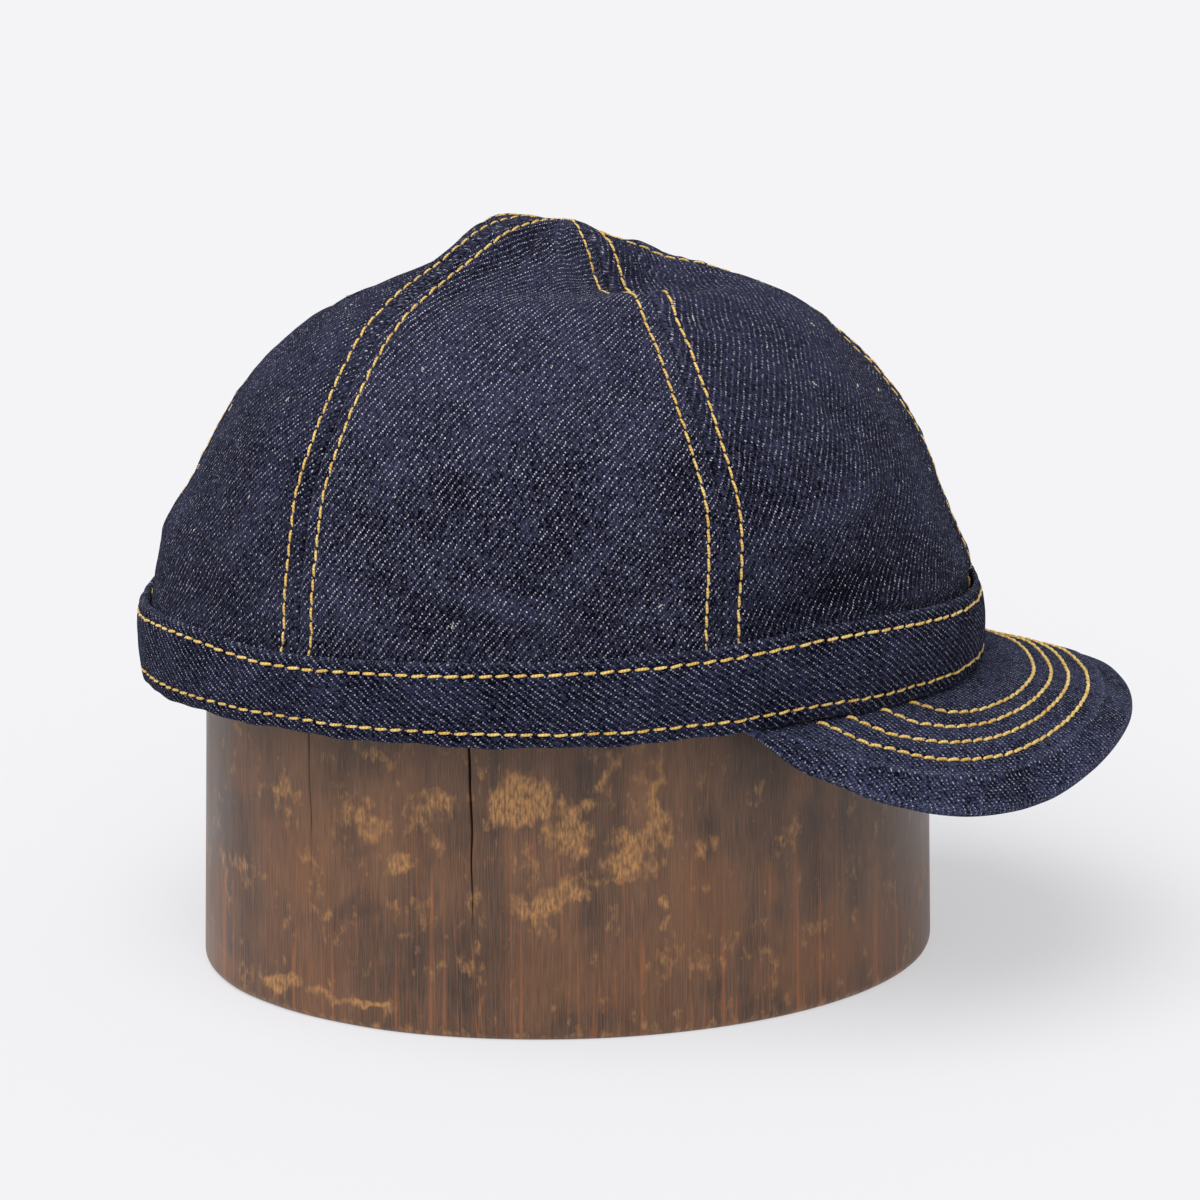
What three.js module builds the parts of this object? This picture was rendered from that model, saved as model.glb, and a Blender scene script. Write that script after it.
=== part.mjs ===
// Mechanic cap of raw denim, resting on the plain oval wooden block that holds it up.
// Six crown panels, a folded band, a peak of two cloth layers, and the block.
// Millimetres, +X towards the peak, +Y to the wearer's left, +Z up, origin under the block.
import * as THREE from 'three';

// Sizes of the cap
const bandLength = 212;
const bandWidth = 174;
const bandHeight = 21.5;
const bandWall = 2.2;
const bandSwell = 1.4;
const bandLevel = 75;
const capBack = 1.9;
const crownLevel = 74;
const crownHeight = 112.5;
const crownTuck = 16;
const panelWall = 1.6;
const seamRidge = 0.6;
const seamReach = 4;
const seamFade = 20;
const poleForward = 1.5;
const poleLeft = 6;
const poleShare = 0.3;
const peakLength = 36;
const peakDroop = 20.6;
const peakArch = 1.6;
const peakCurl = 1.25;
const peakWall = 1.4;
const peakRoot = 3.4;
const clearance = 0.3;

// Sizes of the block, which stands free inside the band by the two gaps
const blockEndGap = 13.5;
const blockSideGap = 12.3;
const blockLength = bandLength - 2 * blockEndGap;
const blockWidth = bandWidth - 2 * blockSideGap;
const blockWall = 90;
const blockTaper = 2;
const blockTurn = 12.2;
const blockFoot = 1.5;
const seatGap = 0.3;

// Seams of the crown, in degrees round from the peak, the same on both sides
const frontSeam = 68;
const rearSeam = 127.5;

// The crown's five drawn lines, from its edge behind the band up to the pole. crownOut holds shares
// of the way from the pole to the band, and crownUp shares of crownHeight over crownLevel.
const lines = [
  { name: 'front', at: 0 },
  { name: 'frontSeam', at: frontSeam },
  { name: 'side', at: 97 },
  { name: 'rearSeam', at: rearSeam },
  { name: 'rear', at: 180 },
];
const crownOut = [
  { rung: 'rim', front: 0.99, frontSeam: 1, side: 1, rearSeam: 1, rear: 1 },
  { rung: 'wall', front: 0.942, frontSeam: 1.01, side: 1, rearSeam: 0.98, rear: 0.968 },
  { rung: 'waist', front: 0.892, frontSeam: 1.009, side: 0.992, rearSeam: 0.96, rear: 0.898 },
  { rung: 'flank', front: 0.833, frontSeam: 0.99, side: 0.962, rearSeam: 0.93, rear: 0.836 },
  { rung: 'upper', front: 0.76, frontSeam: 0.887, side: 0.885, rearSeam: 0.86, rear: 0.757 },
  { rung: 'bend', front: 0.66, frontSeam: 0.775, side: 0.777, rearSeam: 0.765, rear: 0.664 },
  { rung: 'shoulder', front: 0.578, frontSeam: 0.668, side: 0.685, rearSeam: 0.69, rear: 0.587 },
  { rung: 'terrace', front: 0.43, frontSeam: 0.545, side: 0.585, rearSeam: 0.6, rear: 0.45 },
  { rung: 'valley', front: 0.315, frontSeam: 0.4, side: 0.45, rearSeam: 0.49, rear: 0.36 },
  { rung: 'foot', front: 0.225, frontSeam: 0.255, side: 0.33, rearSeam: 0.38, rear: 0.295 },
  { rung: 'knob', front: 0.14, frontSeam: 0.17, side: 0.215, rearSeam: 0.285, rear: 0.235 },
  { rung: 'summit', front: 0.06, frontSeam: 0.08, side: 0.11, rearSeam: 0.16, rear: 0.16 },
  { rung: 'pole', front: 0, frontSeam: 0, side: 0, rearSeam: 0, rear: 0 },
];
const crownUp = [
  { rung: 'rim', front: 0.21, frontSeam: 0.225, side: 0.205, rearSeam: 0.18, rear: 0.16 },
  { rung: 'wall', front: 0.31, frontSeam: 0.31, side: 0.31, rearSeam: 0.3, rear: 0.3 },
  { rung: 'waist', front: 0.415, frontSeam: 0.415, side: 0.415, rearSeam: 0.415, rear: 0.415 },
  { rung: 'flank', front: 0.53, frontSeam: 0.53, side: 0.53, rearSeam: 0.53, rear: 0.53 },
  { rung: 'upper', front: 0.64, frontSeam: 0.642, side: 0.645, rearSeam: 0.645, rear: 0.64 },
  { rung: 'bend', front: 0.735, frontSeam: 0.75, side: 0.75, rearSeam: 0.753, rear: 0.737 },
  { rung: 'shoulder', front: 0.795, frontSeam: 0.833, side: 0.828, rearSeam: 0.82, rear: 0.8 },
  { rung: 'terrace', front: 0.858, frontSeam: 0.888, side: 0.878, rearSeam: 0.876, rear: 0.86 },
  { rung: 'valley', front: 0.889, frontSeam: 0.878, side: 0.895, rearSeam: 0.93, rear: 0.893 },
  { rung: 'foot', front: 0.903, frontSeam: 0.874, side: 0.925, rearSeam: 0.972, rear: 0.934 },
  { rung: 'knob', front: 0.942, frontSeam: 0.935, side: 0.968, rearSeam: 1, rear: 0.977 },
  { rung: 'summit', front: 0.972, frontSeam: 0.968, side: 0.99, rearSeam: 1.004, rear: 1.004 },
  { rung: 'pole', front: 0.982, frontSeam: 0.982, side: 0.982, rearSeam: 0.982, rear: 0.982 },
];

// Where the crown turns over, as shares of its height: lower down a dent goes in sideways, and above
// both together it goes straight down
const browShare = 0.72;
const browReachShare = 0.18;

// Dents pressed into the crown: at in degrees round from the peak, with the right side below zero,
// up a share of crownHeight, spread and tall the reach of each dent along those two ways, and depth
// a share of deepestDent
const deepestDent = 8;
const dents = [
  { name: 'creaseBehindKnob', at: -50, up: 0.86, spread: 30, tall: 0.035, depth: 0.2 },
  { name: 'hollowOverBand', at: -78, up: 0.3, spread: 20, tall: 0.09, depth: 0.15 },
  { name: 'pinchAtRear', at: -160, up: 0.53, spread: 16, tall: 0.07, depth: 0.125 },
  { name: 'lowLeftFront', at: 48, up: 0.87, spread: 34, tall: 0.09, depth: 0.75 },
  { name: 'lowLeftRear', at: 128, up: 0.93, spread: 40, tall: 0.1, depth: 1 },
];

// The band's two edges round the cap: at in degrees from the peak, foot and rim as shares of
// bandHeight over bandLevel. It climbs towards the peak and stands tallest beside it.
const bandEdges = [
  { at: 0, foot: 0.08, rim: 0.98 },
  { at: 20, foot: 0.1, rim: 1.06 },
  { at: 40, foot: 0.13, rim: 1.17 },
  { at: 55, foot: 0.15, rim: 1.18 },
  { at: 70, foot: 0.09, rim: 1.09 },
  { at: 90, foot: 0.03, rim: 1.01 },
  { at: 110, foot: 0.005, rim: 0.93 },
  { at: 130, foot: -0.02, rim: 0.86 },
  { at: 150, foot: -0.07, rim: 0.9 },
  { at: 180, foot: -0.18, rim: 0.75 },
];

// The peak's outer edge from its middle to where it leaves the band: at in degrees, reach a share of
// peakLength out from the band, drop a share of peakDroop under the band's lower edge
const peakEdge = [
  { at: 0, reach: 1, drop: 0.5 },
  { at: 10, reach: 0.985, drop: 0.54 },
  { at: 20, reach: 0.932, drop: 0.73 },
  { at: 30, reach: 0.846, drop: 0.91 },
  { at: 40, reach: 0.716, drop: 0.89 },
  { at: 50, reach: 0.524, drop: 0.65 },
  { at: 58, reach: 0.28, drop: 0.31 },
  { at: 62, reach: 0.11, drop: 0.11 },
  { at: 64, reach: 0.02, drop: 0.03 },
];

const denim = { color: 0x262a44, roughness: 0.92, metalness: 0 };
const denimBand = { color: 0x23273f, roughness: 0.92, metalness: 0 };
const wood = { color: 0x5c3d26, roughness: 0.6, metalness: 0 };

const radians = THREE.MathUtils.degToRad;

function smooth(t) {
  return t * t * (3 - 2 * t);
}

// Catmull-Rom value of a list of numbers at the position s, counted in list steps.
function along(values, s) {
  const last = values.length - 1;
  const i = Math.min(Math.floor(s), last - 1);
  const t = s - i;
  const before = values[Math.max(i - 1, 0)];
  const after = values[Math.min(i + 2, last)];
  const [from, to] = [values[i], values[i + 1]];
  const bend = (2 * before - 5 * from + 4 * to - after) * t;
  const turn = (3 * from - before - 3 * to + after) * t * t;
  return from + 0.5 * t * (to - before + bend + turn);
}

// Position in a table whose column `at` rises, counted in rows, for the angle given.
function rowAt(table, at) {
  const last = table.length - 2;
  const i = Math.min(Math.max(table.findLastIndex((row) => row.at <= at), 0), last);
  return i + (at - table[i].at) / (table[i + 1].at - table[i].at);
}

// Height of one of the band's edges, foot or rim, at an angle round the cap.
function bandHeightAt(angle, edge) {
  const turn = Math.abs(THREE.MathUtils.radToDeg(angle));
  const at = rowAt(bandEdges, turn > 180 ? 360 - turn : turn);
  return bandLevel + bandHeight * along(bandEdges.map((row) => row[edge]), at);
}

// Point on one of the cap's ovals, moved out along the oval's own normal.
function onOval(halfLength, halfWidth, angle, out) {
  const normal = new THREE.Vector2(halfWidth * Math.cos(angle), halfLength * Math.sin(angle));
  normal.normalize();
  return new THREE.Vector2(
    halfLength * Math.cos(angle) + out * normal.x - capBack,
    halfWidth * Math.sin(angle) + out * normal.y,
  );
}

// Closed shell of cloth between a grid of outer points and the grid of inner points under it.
// rows[i][j] runs so that the outer face looks away from the cloth's inside.
function clothShell(outer, innerRows) {
  const [tall, wide] = [outer.length, outer[0].length];
  const points = [...outer.flat(), ...innerRows.flat()];
  const index = [];
  const quad = (a, b, c, d) => index.push(a, b, c, a, c, d);
  const inner = tall * wide;
  for (let i = 0; i < tall - 1; i += 1) {
    for (let j = 0; j < wide - 1; j += 1) {
      const a = i * wide + j;
      const [b, c, d] = [a + 1, a + wide + 1, a + wide];
      quad(a, b, c, d);
      quad(inner + a, inner + d, inner + c, inner + b);
    }
  }
  for (let j = 0; j < wide - 1; j += 1) {
    const top = (tall - 1) * wide + j;
    quad(j, inner + j, inner + j + 1, j + 1);
    quad(top, top + 1, inner + top + 1, inner + top);
  }
  for (let i = 0; i < tall - 1; i += 1) {
    const left = i * wide;
    const right = left + wide - 1;
    quad(left, left + wide, inner + left + wide, inner + left);
    quad(right, inner + right, inner + right + wide, right + wide);
  }
  return solid(points, index);
}

function solid(points, index) {
  const geometry = new THREE.BufferGeometry();
  const numbers = points.flatMap((point) => [point.x, point.y, point.z]);
  geometry.setAttribute('position', new THREE.Float32BufferAttribute(numbers, 3));
  geometry.setIndex(index);
  geometry.computeVertexNormals();
  return geometry;
}

function piece(name, geometry, look) {
  const mesh = new THREE.Mesh(geometry, new THREE.MeshStandardMaterial(look));
  mesh.name = name;
  return mesh;
}

const rungCount = crownOut.length - 1;
const crownHalfLength = bandLength / 2 - bandWall - bandSwell - clearance;
const crownHalfWidth = bandWidth / 2 - bandWall - bandSwell - clearance;
const pole = new THREE.Vector2(poleForward, poleLeft);

// out and up of the crown's surface at an angle round it and a position in its tables' rows.
function crownShares(angle, rung) {
  const turn = Math.abs(THREE.MathUtils.radToDeg(angle));
  const at = rowAt(lines, Math.min(turn, 180));
  const near = lines[Math.min(Math.floor(at), lines.length - 2)];
  const far = lines[lines.indexOf(near) + 1];
  const blend = smooth(at - lines.indexOf(near));
  return [crownOut, crownUp].map((table) => {
    const a = along(table.map((row) => row[near.name]), rung);
    const b = along(table.map((row) => row[far.name]), rung);
    return a + (b - a) * blend;
  });
}

function dentDepth(angle, up) {
  return dents.reduce((sum, dent) => {
    const across = (THREE.MathUtils.radToDeg(angle) - dent.at) / dent.spread;
    const tall = (up - dent.up) / dent.tall;
    return sum + deepestDent * dent.depth * Math.exp(-(across ** 2) - tall ** 2);
  }, 0);
}

// Point on the crown's outside. Rungs under 0 are hidden behind the band. A lift or a dent moves the
// wall out or in, and the crown's top up or down.
function crownPoint(angle, rung, lift) {
  const [out, up] = crownShares(angle, Math.max(rung, 0));
  const foot = onOval(crownHalfLength, crownHalfWidth, angle, 0);
  const hidden = rung < 0;
  const move = hidden ? 0 : lift - dentDepth(angle, up);
  const flatness = smooth(THREE.MathUtils.clamp((up - browShare) / browReachShare, 0, 1));
  const share = hidden ? Math.min(out, 1) : out + (move * (1 - flatness)) / foot.distanceTo(pole);
  const flat = pole.clone().lerp(foot, share);
  const rim = bandHeightAt(angle, 'rim') - crownLevel - crownHeight * up;
  const settle = Math.max(1 - Math.max(rung, 0), 0);
  const level = crownLevel + crownHeight * up + rim * settle + move * flatness;
  return new THREE.Vector3(flat.x, flat.y, level - crownTuck * Math.max(-rung, 0));
}

// Lift of the cloth at a distance from a seam pressed open: a ditch, then a low ridge.
function seamLift(distance) {
  const ridge = Math.exp(-(((distance - seamReach / 2) / (seamReach * 0.6)) ** 2));
  return seamRidge * ridge * Math.min(1, 0.2 + distance / (seamReach / 2));
}

// Positions across a panel of the width given: close together at both seams, then even.
function panelColumns(width) {
  const edge = Math.min(seamReach, width * 0.18);
  const seam = [0, 0.3, 1, 1.8].map((share) => edge * share);
  const inner = width - 2 * seam.at(-1);
  const even = [0.25, 0.5, 0.75].map((share) => seam.at(-1) + inner * share);
  return [...seam, ...even, ...seam.map((x) => width - x).reverse()];
}

// The inside of the crown's wall under one of its outer points, square to the drawn line there, so
// that neighbouring panels keep their gap all through the wall.
function crownInside(angle, rung, lift) {
  const step = 0.05;
  const below = crownPoint(angle, rung - (rung < 0 ? 0.5 : step), lift);
  const above = crownPoint(angle, Math.min(rung + (rung < 0 ? 0.1 : step), rungCount), lift);
  const rise = above.sub(below);
  const outward = onOval(crownHalfLength, crownHalfWidth, angle, 0).sub(pole).normalize();
  const run = rise.x * outward.x + rise.y * outward.y;
  const inward = new THREE.Vector3(-rise.z * outward.x, -rise.z * outward.y, run).normalize();
  return crownPoint(angle, rung, lift).addScaledVector(inward, panelWall);
}

// One of the six gores, between two seams given in degrees, from the band up to the pole.
function crownPanel(fromDegrees, toDegrees) {
  const [from, to] = [radians(fromDegrees), radians(toDegrees)];
  const steps = rungCount * 2 - 1;
  const hiddenRungs = [-1, -0.15];
  const rungs = [...hiddenRungs];
  for (let k = 0; k <= steps; k += 1) rungs.push((k / steps) * (rungCount - poleShare));
  const places = rungs.map((rung) => {
    const width = crownPoint(from, rung, 0).distanceTo(crownPoint(to, rung, 0));
    return panelColumns(width).map((distance) => {
      const inset = clearance / 2 + distance * (1 - clearance / width);
      const edge = Math.min(distance, width - distance);
      const risen = THREE.MathUtils.clamp(rung * 2, 0, 1) * Math.min(1, width / seamFade);
      return [from + (to - from) * (inset / width), rung, seamLift(edge) * risen];
    });
  });
  const outer = places.map((row) => row.map((place) => crownPoint(...place)));
  const inner = places.map((row) => row.map((place) => crownInside(...place)));
  return clothShell(outer, inner);
}

// The folded strip: its section, as [out from the band's line, share of the way up], runs round
// the oval. It swells between the two stitch rows and is rounded at both folds.
function bandStrip() {
  const lip = bandWall / 2;
  const fold = lip / bandHeight;
  const section = [
    [-bandSwell - bandWall, 0.25 * fold], [-bandSwell - lip, 0], [-bandSwell - 0.2 * lip, 0.3 * fold],
    [-bandSwell * 0.7, 2 * fold], [-bandSwell * 0.25, 0.28], [0, 0.5],
    [-bandSwell * 0.25, 0.75], [-bandSwell * 0.8, 1 - 1.6 * fold],
    [-bandSwell - 0.25 * lip, 1 - 0.3 * fold], [-bandSwell - lip, 1],
    [-bandSwell - bandWall, 1 - 0.25 * fold],
  ];
  const around = 60;
  const points = [];
  const index = [];
  for (let k = 0; k < around; k += 1) {
    const angle = (k / around) * 2 * Math.PI;
    for (const [out, up] of section) {
      const flat = onOval(bandLength / 2, bandWidth / 2, angle, out);
      const foot = bandHeightAt(angle, 'foot');
      const rim = bandHeightAt(angle, 'rim');
      points.push(new THREE.Vector3(flat.x, flat.y, foot + up * (rim - foot)));
    }
  }
  const count = section.length;
  for (let k = 0; k < around; k += 1) {
    const next = (k + 1) % around;
    for (let j = 0; j < count; j += 1) {
      const turn = (j + 1) % count;
      const [a, b] = [k * count + j, next * count + j];
      const [c, d] = [next * count + turn, k * count + turn];
      index.push(a, b, c, a, c, d);
    }
  }
  return solid(points, index);
}

// Point on the peak's top face: side runs -1 to 1 from its right to its left end, out 0 to 1 from
// the root under the band to the outer edge.
function peakPoint(side, out) {
  const end = peakEdge.at(-1).at;
  const at = rowAt(peakEdge, Math.abs(side) * end);
  const angle = radians(side * end);
  const reach = peakLength * along(peakEdge.map((row) => row.reach), at);
  const drop = peakDroop * along(peakEdge.map((row) => row.drop), at);
  const flat = onOval(bandLength / 2, bandWidth / 2, angle, -peakRoot + (reach + peakRoot) * out);
  const level = bandHeightAt(angle, 'foot') - clearance;
  const arch = peakArch * Math.sin(Math.PI * out) * out;
  return new THREE.Vector3(flat.x, flat.y, level - drop * out ** peakCurl + arch);
}

// Point under the peak's top face, lowered along its normal by the depth given.
function peakUnder(side, out, depth) {
  const step = 0.01;
  const span = peakPoint(Math.min(side + step, 1), out).sub(peakPoint(Math.max(side - step, -1), out));
  const run = peakPoint(side, Math.min(out + step, 1)).sub(peakPoint(side, Math.max(out - step, 0)));
  return peakPoint(side, out).addScaledVector(span.cross(run).normalize(), depth);
}

// One layer of the peak, from the depth given under its top face down by its wall.
function peakLayer(depth) {
  const [wide, deep] = [28, 8];
  const grid = (level) => Array.from({ length: wide + 1 }, (_, j) => (
    Array.from({ length: deep + 1 }, (__, i) => peakUnder(-1 + (2 * j) / wide, i / deep, level))
  ));
  return clothShell(grid(depth), grid(depth + peakWall));
}

// The block's dome in plain steps, from its springing to its top, as shares of its reach and rise.
const domeSteps = Array.from({ length: 13 }, (_, k) => {
  const angle = (k / 12) * (Math.PI / 2);
  return { out: k < 12 ? Math.cos(angle) : 0, up: Math.sin(angle) };
});

function domeUp(out) {
  const k = domeSteps.findIndex((step) => step.out <= out);
  const [low, high] = [domeSteps[Math.max(k - 1, 0)], domeSteps[Math.max(k, 1)]];
  return low.up + (high.up - low.up) * ((low.out - out) / (low.out - high.out));
}

// Rise of the block's dome: as high as the crown's inside lets it be, less the seat's gap.
function domeRise() {
  const turn = radians(-blockTurn);
  let rise = Infinity;
  for (let rung = 4; rung < rungCount; rung += 0.2) {
    for (let angle = -Math.PI; angle < Math.PI; angle += radians(3)) {
      const roof = crownInside(angle, rung, 0);
      const place = new THREE.Vector2(roof.x, roof.y).rotateAround(new THREE.Vector2(), turn);
      const long = place.x / (blockLength / 2 - blockTaper);
      const wide = place.y / (blockWidth / 2 - blockTaper * (blockWidth / blockLength));
      const out = Math.hypot(long, wide);
      if (out < 0.95) rise = Math.min(rise, (roof.z - seatGap - blockWall) / domeUp(out));
    }
  }
  return rise;
}

// The wooden block: an oval drum with a flat foot, and a plain dome that carries the crown.
function hatBlock() {
  const [half, rise] = [blockLength / 2, domeRise()];
  const profile = [
    new THREE.Vector2(0, 0),
    new THREE.Vector2(half - blockFoot, 0),
    new THREE.Vector2(half, blockFoot),
    ...domeSteps.map((step) => (
      new THREE.Vector2((half - blockTaper) * step.out, blockWall + rise * step.up)
    )),
  ];
  const geometry = new THREE.LatheGeometry(profile, 48);
  geometry.rotateX(Math.PI / 2);
  geometry.scale(1, blockWidth / blockLength, 1);
  geometry.rotateZ(radians(blockTurn));
  return geometry;
}

const cap = new THREE.Group();
const gores = [
  { name: 'front', from: 0, to: frontSeam },
  { name: 'side', from: frontSeam, to: rearSeam },
  { name: 'back', from: rearSeam, to: 180 },
];
for (const gore of gores) {
  cap.add(piece(`crown_panel_${gore.name}_left`, crownPanel(gore.from, gore.to), denim));
  cap.add(piece(`crown_panel_${gore.name}_right`, crownPanel(-gore.to, -gore.from), denim));
}
cap.add(piece('band', bandStrip(), denimBand));
cap.add(piece('peak_upper', peakLayer(0), denim));
cap.add(piece('peak_under', peakLayer(peakWall + clearance), denim));
cap.add(piece('hat_block', hatBlock(), wood));

export default cap;
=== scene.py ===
"""Mechanic cap of raw denim, resting on a plain oval wooden hat block.

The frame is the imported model's: metres, +X to the peak, +Y to the wearer's left, +Z up, and the
block's flat foot on the floor. Sizes here are millimetres, and each mesh turns them into metres.
"""
import math

import bpy
import numpy as np
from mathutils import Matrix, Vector


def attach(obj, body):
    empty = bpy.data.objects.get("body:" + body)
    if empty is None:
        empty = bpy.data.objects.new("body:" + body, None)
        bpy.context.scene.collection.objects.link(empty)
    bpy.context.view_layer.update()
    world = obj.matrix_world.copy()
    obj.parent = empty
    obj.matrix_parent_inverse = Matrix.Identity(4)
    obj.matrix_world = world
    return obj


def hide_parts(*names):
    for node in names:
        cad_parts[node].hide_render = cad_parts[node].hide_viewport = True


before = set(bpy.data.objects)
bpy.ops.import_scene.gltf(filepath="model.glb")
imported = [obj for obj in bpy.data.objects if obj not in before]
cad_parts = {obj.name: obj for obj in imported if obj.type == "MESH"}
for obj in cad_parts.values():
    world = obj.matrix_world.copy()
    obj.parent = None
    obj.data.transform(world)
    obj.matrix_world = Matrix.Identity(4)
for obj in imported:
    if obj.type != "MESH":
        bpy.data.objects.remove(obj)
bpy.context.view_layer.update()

# The view: from the wearer's right, a little forward of square, and looking slightly down. The
# long lens keeps the block's sides upright, as they are in the photograph.
view_turn, view_pitch = math.radians(1.7), math.radians(14.58)
view_target = Vector((0.0077, 0.0002, 0.0894))
view_distance = 1.16
view_from = Vector((
    math.sin(view_turn) * math.cos(view_pitch),
    -math.cos(view_turn) * math.cos(view_pitch),
    math.sin(view_pitch),
))
camera = bpy.data.objects.new("camera", bpy.data.cameras.new("camera"))
camera.data.sensor_width = 36
camera.data.lens = 139.3
camera.location = view_target + view_distance * view_from
camera.rotation_euler = (-view_from).to_track_quat("-Z", "Y").to_euler()
bpy.context.collection.objects.link(camera)
bpy.context.scene.camera = camera
bpy.context.scene.view_settings.view_transform = "Standard"


# The studio: a wide table of matt white acrylic that glows a little, in an even pale room, under a
# large soft light from above and a weaker one from the front. The glow keeps the shadow pale.
def linear(colour):
    """Linear RGBA of an sRGB hex colour."""
    rgb = np.array([int(colour[k:k + 2], 16) for k in (1, 3, 5)]) / 255
    rgb = np.where(rgb <= 0.04045, rgb / 12.92, ((rgb + 0.055) / 1.055) ** 2.4)
    return (*rgb.tolist(), 1.0)


def put(tree, kind, sockets=(), **settings):
    """Adds one node with its settings. sockets gives each input, by name or place, a value or the
    outputs of another node, of which the first is linked, or one of those outputs."""
    made = tree.nodes.new(kind)
    for name, value in settings.items():
        setattr(made, name, value)
    for key, value in dict(sockets).items():
        if isinstance(value, bpy.types.bpy_prop_collection):
            value = value[0]
        if isinstance(value, bpy.types.NodeSocket):
            tree.links.new(value, made.inputs[key])
        else:
            made.inputs[key].default_value = value
    return made.outputs


def new_material(name, inputs, steps=()):
    """Material of one Principled shader with these inputs, after a table of steps. A step has a
    name, an operation and its values: numbers, vectors, colours or names of earlier steps, where
    .1 or .2 after a name means that node's second or third output. An operation that isn't one of
    the words below is a Math node's, or a VectorMath node's where VECTOR_ stands before it."""
    words = {
        "UV": ("ShaderNodeUVMap", (), {"uv_map": "weave"}),
        "PLACE": ("ShaderNodeTexCoord", (), {}),
        "MARK": ("ShaderNodeAttribute", (), {}),
        "NOISE": ("ShaderNodeTexNoise", ("Vector", "Scale", "Detail"), {}),
        "CHANCE": ("ShaderNodeTexWhiteNoise", ("Vector",), {"noise_dimensions": "2D"}),
        "SPLIT": ("ShaderNodeSeparateXYZ", (0,), {}),
        "RANGE": ("ShaderNodeMapRange", range(5), {}),
        "SMOOTH": ("ShaderNodeMapRange", range(5), {"interpolation_type": "SMOOTHSTEP"}),
        "CLAMP": ("ShaderNodeClamp", (0,), {}),
        "MIX": ("ShaderNodeMix", (0, 6, 7), {"data_type": "RGBA"}),
        "BUMP": ("ShaderNodeBump", ("Height", "Strength", "Distance"), {}),
    }
    material = bpy.data.materials.new(name)
    material.use_nodes = True
    tree = material.node_tree
    tree.nodes.clear()
    made = {}
    for label, word, *values in steps:
        kind, places, settings = words.get(word, ("ShaderNodeMath", range(3), {"operation": word}))
        if word.startswith("VECTOR_"):
            kind, settings = "ShaderNodeVectorMath", {"operation": word.removeprefix("VECTOR_")}
        elif word == "MARK":
            settings = {"attribute_name": label}
        sockets = {key: made.get(value, value) for key, value in zip(places, values)}
        outputs = put(tree, kind, sockets, **settings)
        made.update({f"{label}.{k}": output for k, output in enumerate(outputs)})
        made[label] = outputs[2 if word in ("MIX", "MARK") else 0]
    inputs = {key: made.get(value, value) for key, value in inputs.items()}
    shader = put(tree, "ShaderNodeBsdfPrincipled", inputs)
    put(tree, "ShaderNodeOutputMaterial", {"Surface": shader})
    return material


def skin(name, points, faces, uv=None, marks=None):
    """Smooth mesh object from points in mm and one or more arrays of faces. uv holds a pair in mm
    for each point, and marks holds named numbers for each point that the materials read."""
    groups = faces if isinstance(faces, list) else [faces]
    corners = np.concatenate([group.ravel() for group in groups]).astype(np.int32)
    counts = np.concatenate([np.full(len(group), group.shape[1]) for group in groups])
    mesh = bpy.data.meshes.new(name)
    mesh.vertices.add(len(points))
    mesh.vertices.foreach_set("co", (np.asarray(points, float) * 0.001).ravel())
    mesh.loops.add(len(corners))
    mesh.loops.foreach_set("vertex_index", corners)
    mesh.polygons.add(len(counts))
    mesh.polygons.foreach_set("loop_start", np.cumsum(counts) - counts)
    mesh.polygons.foreach_set("use_smooth", np.ones(len(counts), bool))
    mesh.update(calc_edges=True)
    if uv is not None:
        layer = mesh.uv_layers.new(name="weave")
        layer.uv.foreach_set("vector", np.asarray(uv, np.float32)[corners].ravel())
    for key, values in (marks or {}).items():
        made = mesh.attributes.new(key, "FLOAT", "POINT")
        made.data.foreach_set("value", np.asarray(values, np.float32).ravel())
    made = bpy.data.objects.new(name, mesh)
    bpy.context.collection.objects.link(made)
    return made


floor_half = 40000.0
corners = np.array([[-1, -1, 0], [1, -1, 0], [1, 1, 0], [-1, 1, 0]]) * floor_half
floor = skin("floor", corners, np.array([[0, 1, 2, 3]]))
# pale and quite matt, with a faint glow, so the shadow on it is soft and never dark
floor.data.materials.append(new_material("matt_white_acrylic", {
    "Base Color": linear("#a0a0a1"),
    "Roughness": 0.85,
    "Specular IOR Level": 0.1,
    "Emission Color": linear("#f8f8fa"),
    "Emission Strength": 0.535,
}))

room = bpy.data.worlds.new("pale_room")
room.use_nodes = True
room.node_tree.nodes.clear()
sky = put(room.node_tree, "ShaderNodeBackground", {"Color": linear("#f2f3f6"), "Strength": 0.44})
put(room.node_tree, "ShaderNodeOutputWorld", {"Surface": sky})
bpy.context.scene.world = room

# degrees round from the peak and degrees up that each light comes from, degrees it spans, and power
lights = {"ceiling_light": (228, 68, 60, 1.95), "window_light": (262, 42, 50, 0.9)}
for name, (turn, climb, span, power) in lights.items():
    lamp = bpy.data.objects.new(name, bpy.data.lights.new(name, "SUN"))
    lamp.data.angle = math.radians(span)
    lamp.data.energy = power
    lamp.data.color = linear("#fdfcff")[:3]
    flat, up = math.cos(math.radians(climb)), math.sin(math.radians(climb))
    ray = Vector((math.cos(math.radians(turn)) * flat, math.sin(math.radians(turn)) * flat, up))
    lamp.rotation_euler = (-ray).to_track_quat("-Z", "Y").to_euler()
    bpy.context.collection.objects.link(lamp)


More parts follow.
